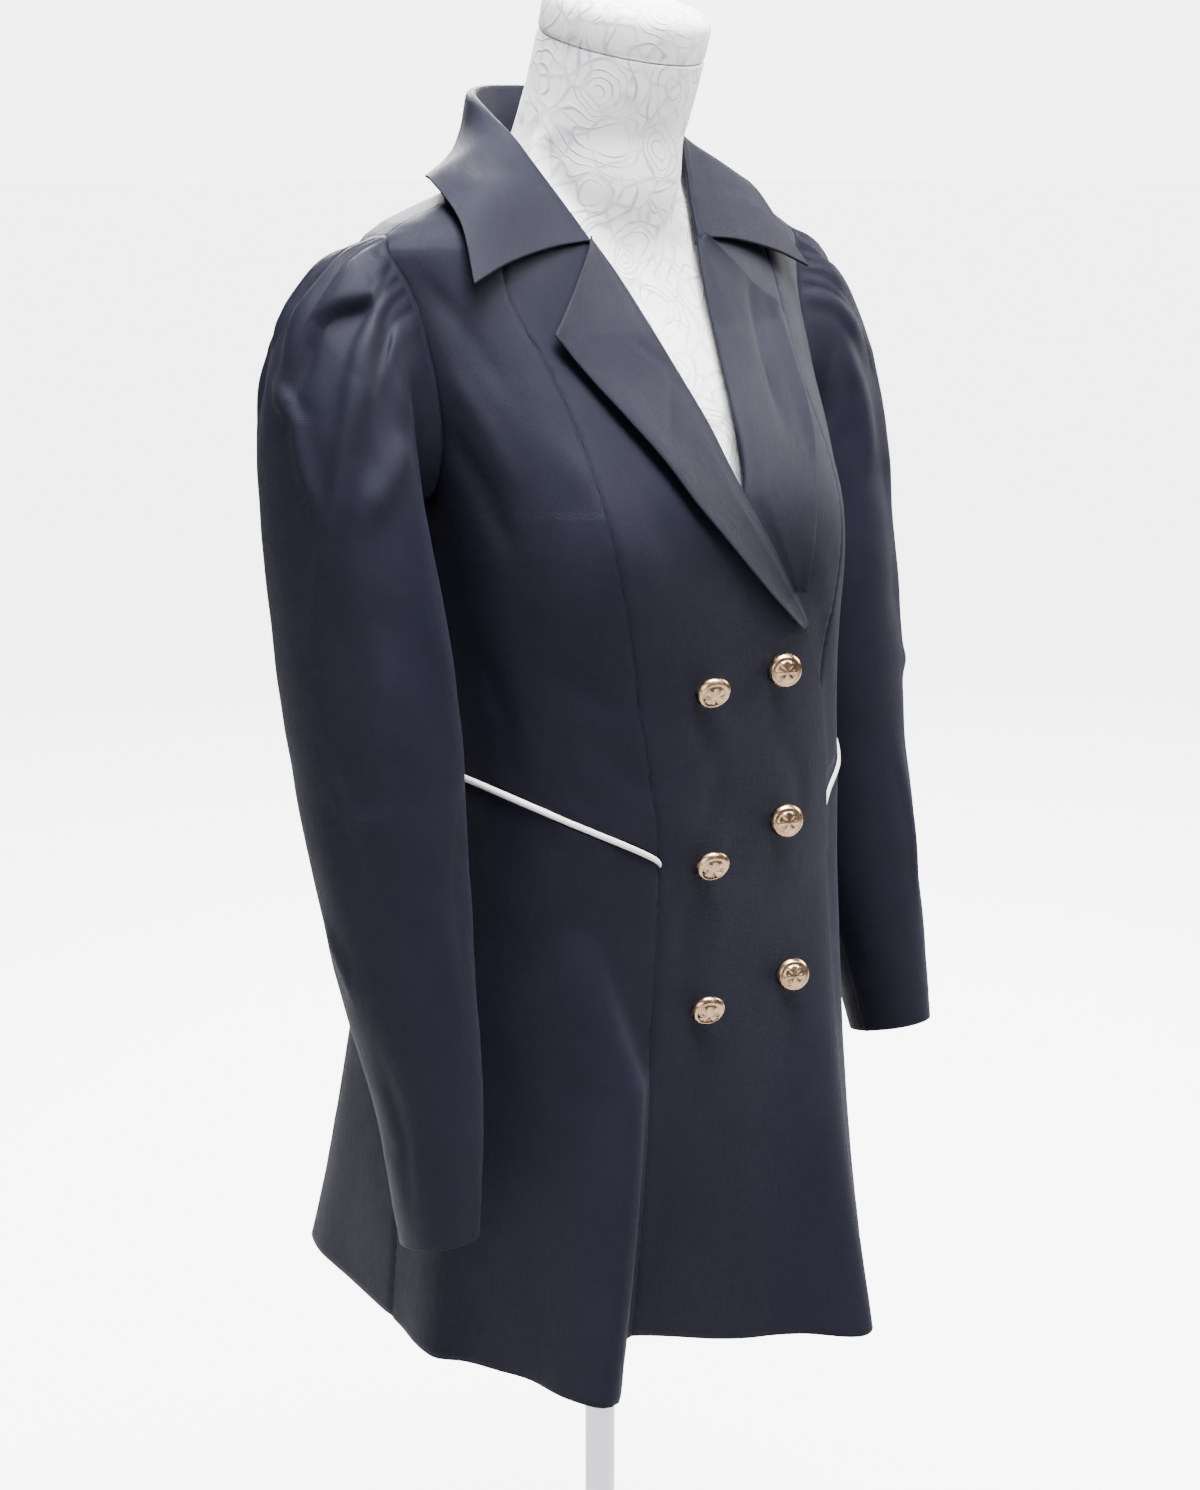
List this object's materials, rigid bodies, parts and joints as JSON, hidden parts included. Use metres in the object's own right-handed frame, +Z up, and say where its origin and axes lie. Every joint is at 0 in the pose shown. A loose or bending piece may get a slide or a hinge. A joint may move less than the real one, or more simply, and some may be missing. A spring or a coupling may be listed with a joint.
{
  "type": "longline jacket on a dress form",
  "caption": "Longline double-breasted jacket with notched lapels, piped waist seams and gathered sleeve heads, on a limbless dress form with a pole and round base.",
  "frame": {"origin": "centre of the round base's underside, on the floor under the pole", "axes": "+Z up along the pole, -Y the jacket's front, +X the wearer's left"},
  "size_m": [0.5562, 0.4249, 1.5091],
  "materials": {
    "navy_sateen": "sateen, low sheen",
    "white_piping": "satin",
    "gold_button": "polished",
    "form_cover": "matt",
    "stand_paint": "satin"
  },
  "bodies": {
    "root": {"front_right": "navy_sateen", "front_left": "navy_sateen", "side_front_right": "navy_sateen", "side_front_left": "navy_sateen", "skirt_right": "navy_sateen", "skirt_left": "navy_sateen", "back_right": "navy_sateen", "back_left": "navy_sateen", "collar": "navy_sateen", "lapel_right": "navy_sateen", "lapel_left": "navy_sateen", "sleeve_right": "navy_sateen", "sleeve_left": "navy_sateen", "piping_right": "white_piping", "piping_left": "white_piping", "button_right_1": "gold_button", "button_right_2": "gold_button", "button_right_3": "gold_button", "button_left_1": "gold_button", "button_left_2": "gold_button", "button_left_3": "gold_button", "form_torso": "form_cover", "neck_cap": "form_cover", "flange": "stand_paint", "pole": "stand_paint", "pole_socket": "stand_paint", "base_plate": "stand_paint"}
  },
  "joints": []
}
